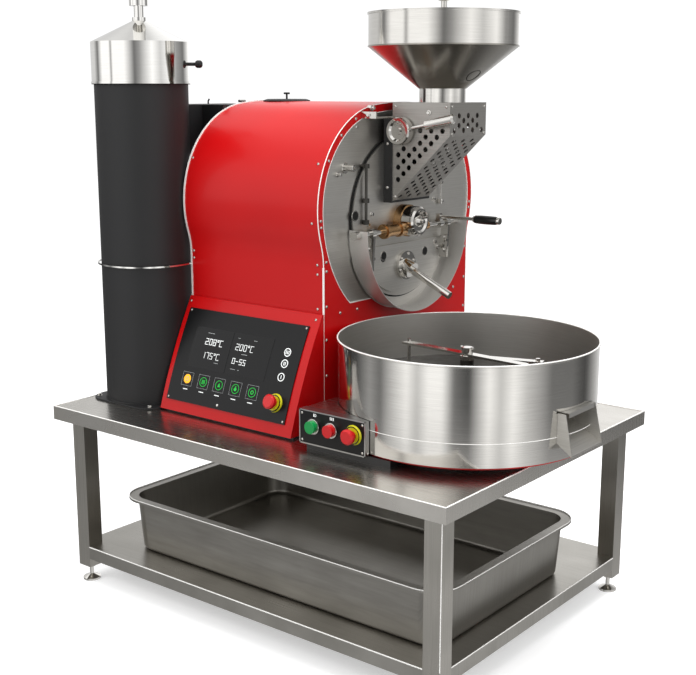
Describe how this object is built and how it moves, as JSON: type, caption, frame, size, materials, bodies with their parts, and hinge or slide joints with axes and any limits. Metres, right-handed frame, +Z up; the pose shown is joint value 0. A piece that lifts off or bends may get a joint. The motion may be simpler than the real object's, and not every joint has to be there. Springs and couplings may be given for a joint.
{
  "type": "coffee roaster",
  "caption": "Drum coffee roaster on a steel table, with hopper, perforated feed box, discharge door, cooling bin with agitator, touch console, cyclone and a bean pan.",
  "frame": {"origin": "on the floor, at the middle of the machine's length and depth", "axes": "+Z up; +X along the table from the cyclone to the cooling bin's chute; -Y towards the operator at the console"},
  "size_m": [1.515, 1.04, 1.765],
  "materials": {
    "table_steel": "brushed, satin",
    "pan_steel": "satin, drawn sheet",
    "red_paint": "gloss powder coat",
    "black_paint": "satin powder coat",
    "matte_black_paint": "matte heat-proof paint",
    "plate_steel": "brushed, satin",
    "polished_steel": "polished",
    "dark_steel": "heat-darkened",
    "box_aluminium": "satin anodised",
    "bronze": "machined, oiled",
    "gasket_rubber": "matte",
    "panel_black": "satin overlay film",
    "grip_black": "gloss",
    "button_red": "gloss",
    "button_green": "gloss",
    "ring_yellow": "gloss"
  },
  "bodies": {
    "roaster": {"agitator_drive": "dark_steel", "bearing_housing": "polished_steel", "bin_base": "polished_steel", "bin_chute": "polished_steel", "bin_floor": "dark_steel", "bin_ring": "red_paint", "bin_wall": "polished_steel", "blower_housing": "table_steel", "body_shell": "red_paint", "burner": "polished_steel", "console_housing": "red_paint", "console_panel": "panel_black", "control_box": "box_aluminium", "control_face": "panel_black", "cover_clamps": "polished_steel", "cover_gasket": "gasket_rubber", "cyclone_cap": "polished_steel", "cyclone_hoop": "polished_steel", "cyclone_tube": "matte_black_paint", "drive_motor": "black_paint", "drum_cover": "plate_steel", "exhaust_duct": "matte_black_paint", "exhaust_stack": "polished_steel", "feed_box": "plate_steel", "feed_spacer": "black_paint", "feed_stay": "polished_steel", "front_bearing": "bronze", "front_frame": "red_paint", "front_plate": "plate_steel", "hopper": "polished_steel", "hopper_neck": "polished_steel", "levelling_feet": "polished_steel", "lower_shelf": "table_steel", "machine_base": "black_paint", "rear_panel": "red_paint", "stop_rings": "ring_yellow", "table_legs": "table_steel", "table_top": "table_steel", "trough": "plate_steel"},
    "drum": {"drum": "dark_steel", "drum_shaft": "polished_steel"},
    "agitator": {"agitator": "polished_steel"},
    "discharge": {"discharge_door": "plate_steel", "discharge_shafts": "polished_steel", "discharge_lever": "polished_steel", "lever_grip": "grip_black", "sampler_flange": "polished_steel"},
    "sampler": {"sampler": "polished_steel"},
    "feed_lever": {"feed_lever": "polished_steel", "feed_grip": "polished_steel", "feed_gate": "polished_steel"},
    "hopper_lid": {"hopper_lid": "polished_steel"},
    "console_stop": {"console_stop": "button_red"},
    "box_stop": {"box_stop": "button_red"},
    "start_button": {"start_button": "button_green"},
    "halt_button": {"halt_button": "button_red"},
    "chute_gate": {"chute_gate": "polished_steel"},
    "bean_pan": {"bean_pan": "pan_steel"},
    "cap_knob": {"cap_knob": "grip_black"},
    "damper_handle": {"damper_handle": "polished_steel"}
  },
  "joints": [
    {"name": "drum_turn", "type": "hinge", "parent": "roaster", "child": "drum", "pos_m": [0, 0.144, 1.1], "axis": [1, 0, 0], "continuous": true},
    {"name": "agitator_turn", "type": "hinge", "parent": "roaster", "child": "agitator", "pos_m": [0.3825, -0.029, 0.7], "axis": [0, 0, 1], "continuous": true},
    {"name": "discharge_swing", "type": "hinge", "parent": "roaster", "child": "discharge", "pos_m": [0.0695, 0.144, 1.08], "axis": [0, -1, 0], "range_deg": [0, 45]},
    {"name": "sampler_pull", "type": "slide", "parent": "discharge", "child": "sampler", "axis": [0.9063, 0, -0.4226], "range_m": [0, 0.12]},
    {"name": "feed_lever_swing", "type": "hinge", "parent": "roaster", "child": "feed_lever", "pos_m": [0.1055, 0.05, 1.358], "axis": [0, 1, 0], "range_deg": [0, 45]},
    {"name": "lid_lift", "type": "slide", "parent": "roaster", "child": "hopper_lid", "axis": [0, 0, 1], "range_m": [0, 0.12]},
    {"name": "console_stop_press", "type": "slide", "parent": "roaster", "child": "console_stop", "axis": [0, 0.9363, -0.3513], "range_m": [0, 0.005], "stiffness_N_per_m": 800, "springref_m": -0.002},
    {"name": "box_stop_press", "type": "slide", "parent": "roaster", "child": "box_stop", "axis": [0, 1, 0], "range_m": [0, 0.005], "stiffness_N_per_m": 800, "springref_m": -0.002},
    {"name": "start_press", "type": "slide", "parent": "roaster", "child": "start_button", "axis": [0, 1, 0], "range_m": [0, 0.003], "stiffness_N_per_m": 600, "springref_m": -0.002},
    {"name": "halt_press", "type": "slide", "parent": "roaster", "child": "halt_button", "axis": [0, 1, 0], "range_m": [0, 0.003], "stiffness_N_per_m": 600, "springref_m": -0.002},
    {"name": "chute_gate_pull", "type": "slide", "parent": "roaster", "child": "chute_gate", "axis": [1, 0, 0], "range_m": [0, 0.085]},
    {"name": "pan_pull", "type": "slide", "parent": "roaster", "child": "bean_pan", "axis": [1, 0, 0], "range_m": [0, 0.45]},
    {"name": "cap_knob_turn", "type": "hinge", "parent": "roaster", "child": "cap_knob", "pos_m": [-0.48863, -0.16796, 1.541], "axis": [0.8192, 0.5736, 0], "range_deg": [0, 90]},
    {"name": "damper_turn", "type": "hinge", "parent": "roaster", "child": "damper_handle", "pos_m": [-0.5005, 0.051, 1.425], "axis": [0, 0, 1], "range_deg": [0, 90]}
  ]
}
